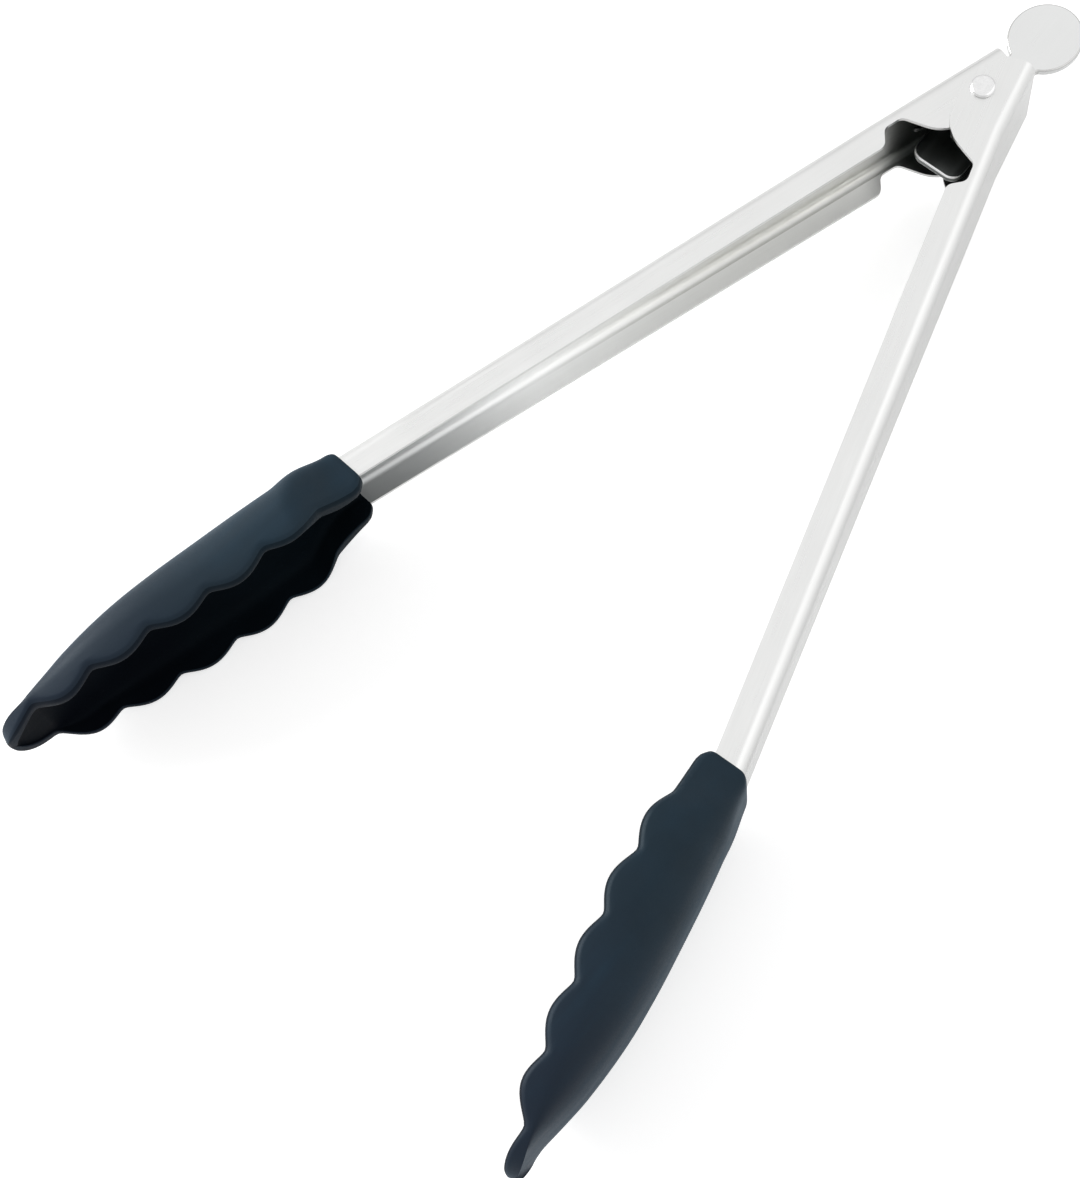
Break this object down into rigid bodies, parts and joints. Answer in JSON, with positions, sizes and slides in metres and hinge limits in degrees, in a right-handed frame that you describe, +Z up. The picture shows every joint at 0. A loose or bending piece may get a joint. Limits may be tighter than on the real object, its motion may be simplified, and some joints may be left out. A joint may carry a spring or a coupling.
{
  "type": "silicone tongs",
  "caption": "Locking kitchen tongs: folded steel arms on a riveted hinge with a pull-tab lock plate, ending in scalloped dark silicone scoop heads, lying open on one side.",
  "frame": {"origin": "middle of the open tongs' footprint, on the surface they lie on", "axes": "+Z up, along the hinge's axis; +Y along the line midway between the arms, from the heads towards the pull tab; +X towards the outer arm"},
  "size_m": [0.1522, 0.2944, 0.0362],
  "materials": {
    "arm_steel": "satin brushed along the arm",
    "rivet_steel": "smooth turned",
    "plate_steel": "satin",
    "spring_steel": "drawn wire",
    "dark_silicone": "matte, dark blue-grey",
    "grey_nylon": "moulded, matte"
  },
  "bodies": {
    "pivot": {"pivot_rivet": "rivet_steel", "spacer_sleeve": "rivet_steel", "torsion_spring": "spring_steel"},
    "left_half": {"left_arm": "arm_steel", "left_silicone_head": "dark_silicone", "left_head_core": "grey_nylon"},
    "right_half": {"right_arm": "arm_steel", "right_silicone_head": "dark_silicone", "right_head_core": "grey_nylon"},
    "lock": {"lock_plate": "plate_steel"}
  },
  "joints": [
    {"name": "left_hinge", "type": "hinge", "parent": "pivot", "child": "left_half", "pos_m": [0, 0.11162, 0.0181], "axis": [0, 0, 1], "range_deg": [0, 14.8], "stiffness_Nm_per_rad": 0.3, "springref_deg": -20.05, "deforming": ["torsion_spring"]},
    {"name": "right_hinge", "type": "hinge", "parent": "pivot", "child": "right_half", "pos_m": [0, 0.11162, 0.0181], "axis": [0, 0, 1], "range_deg": [-14.8, 0], "stiffness_Nm_per_rad": 0.3, "springref_deg": 20.05, "deforming": ["torsion_spring"]},
    {"name": "lock_slide", "type": "slide", "parent": "pivot", "child": "lock", "axis": [0, 1, 0], "range_m": [0, 0.007]}
  ],
  "couplings": [
    {"joint": "right_hinge", "follows": "left_hinge", "ratio": -1}
  ]
}
